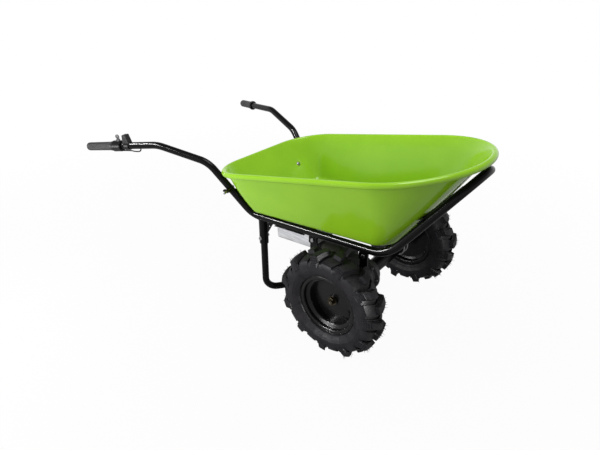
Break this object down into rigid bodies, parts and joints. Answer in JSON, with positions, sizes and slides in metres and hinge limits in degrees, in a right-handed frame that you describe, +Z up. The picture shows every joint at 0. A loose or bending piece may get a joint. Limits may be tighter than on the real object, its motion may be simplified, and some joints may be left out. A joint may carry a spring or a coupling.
{
  "type": "electric garden cart",
  "caption": "Electric wheelbarrow with a deep pressed tray on a bent tube frame, lugged drive wheels on a transaxle, a rear stand and splayed handles with a twist throttle",
  "frame": {"origin": "on the ground under the middle of the whole cart's box", "axes": "+X points forward to the tray's nose, +Y to the user's left, +Z up"},
  "size_m": [1.5156, 0.9348, 0.7081],
  "materials": {
    "tray_paint": "glossy lime green powder coat",
    "tube_paint": "glossy black powder coat",
    "rim_paint": "satin black paint",
    "tyre_rubber": "matt black tyre rubber",
    "zinc": "bright zinc plate",
    "dark_zinc": "black oxide",
    "galvanised": "bright galvanised sheet",
    "axle_steel": "plain steel",
    "cast_housing": "dark grey painted casting",
    "motor_paint": "olive grey enamel",
    "grip_rubber": "soft grey-black rubber",
    "black_rubber": "black rubber",
    "black_plastic": "satin black moulding",
    "rocker_plastic": "gloss black",
    "battery_case": "dark grey battery case",
    "bare_aluminium": "bare extrusion",
    "key_metal": "nickel plate"
  },
  "bodies": {
    "cart": {"tray": "tray_paint", "frame_rail_left": "tube_paint", "frame_rail_right": "tube_paint", "front_hoop": "tube_paint", "handle_left": "tube_paint", "handle_right": "tube_paint", "rear_cross_bar": "tube_paint", "front_cross_bar": "tube_paint", "stand_hoop": "tube_paint", "stand_sleeve_left": "tube_paint", "stand_sleeve_right": "tube_paint", "stand_braces": "tube_paint", "axle_hanger_left": "tube_paint", "axle_hanger_right": "tube_paint", "axle_tube_left": "tube_paint", "axle_tube_right": "tube_paint", "handle_bolts": "zinc", "tray_bolts": "zinc", "tray_nuts": "zinc", "stand_bolts": "zinc", "stand_nuts": "zinc", "pan_bolts": "zinc", "hanger_bolts": "zinc", "hanger_nuts": "zinc", "axle_u_bolts": "zinc", "u_bolt_nuts": "zinc", "housing_bolts": "zinc", "motor_bolts": "zinc", "handle_wing_nuts": "dark_zinc", "battery_pan": "galvanised", "bearings": "axle_steel", "gear_housing_left": "cast_housing", "gear_housing_right": "cast_housing", "motor": "motor_paint", "grip_left": "grip_rubber", "seals": "black_rubber", "throttle_cable": "black_rubber", "motor_end_cap": "black_plastic", "throttle_housing": "black_plastic", "switch_box": "black_plastic", "charge_socket": "black_plastic", "batteries": "battery_case", "controller": "bare_aluminium", "key_lock": "key_metal"},
    "left_wheel": {"tyre_left": "tyre_rubber", "rim_left": "rim_paint", "valve_left": "black_rubber", "hub_left": "rim_paint", "wheel_nut_left": "dark_zinc", "half_shaft_left": "axle_steel"},
    "right_wheel": {"tyre_right": "tyre_rubber", "rim_right": "rim_paint", "valve_right": "black_rubber", "hub_right": "rim_paint", "wheel_nut_right": "dark_zinc", "half_shaft_right": "axle_steel"},
    "throttle": {"grip_right": "grip_rubber", "throttle_tube": "black_plastic"},
    "ignition_key": {"key": "key_metal"},
    "direction_switch": {"rocker": "rocker_plastic"}
  },
  "joints": [
    {"name": "left_wheel_spin", "type": "hinge", "parent": "cart", "child": "left_wheel", "pos_m": [0.40202, 0.281, 0.2], "axis": [0, 1, 0], "continuous": true},
    {"name": "right_wheel_spin", "type": "hinge", "parent": "cart", "child": "right_wheel", "pos_m": [0.40202, -0.281, 0.2], "axis": [0, 1, 0], "continuous": true},
    {"name": "throttle_twist", "type": "hinge", "parent": "cart", "child": "throttle", "pos_m": [-0.68908, -0.42911, 0.55414], "axis": [0.9313, 0.339, 0.1335], "range_deg": [0, 75], "stiffness_Nm_per_rad": 0.3},
    {"name": "key_turn", "type": "hinge", "parent": "cart", "child": "ignition_key", "pos_m": [-0.60191, -0.39739, 0.5959], "axis": [-0.1254, -0.0456, 0.9911], "range_deg": [0, 90]},
    {"name": "direction_rock", "type": "hinge", "parent": "cart", "child": "direction_switch", "pos_m": [-0.57266, -0.38674, 0.59669], "axis": [0.342, -0.9397, 0], "range_deg": [-12, 12]}
  ]
}
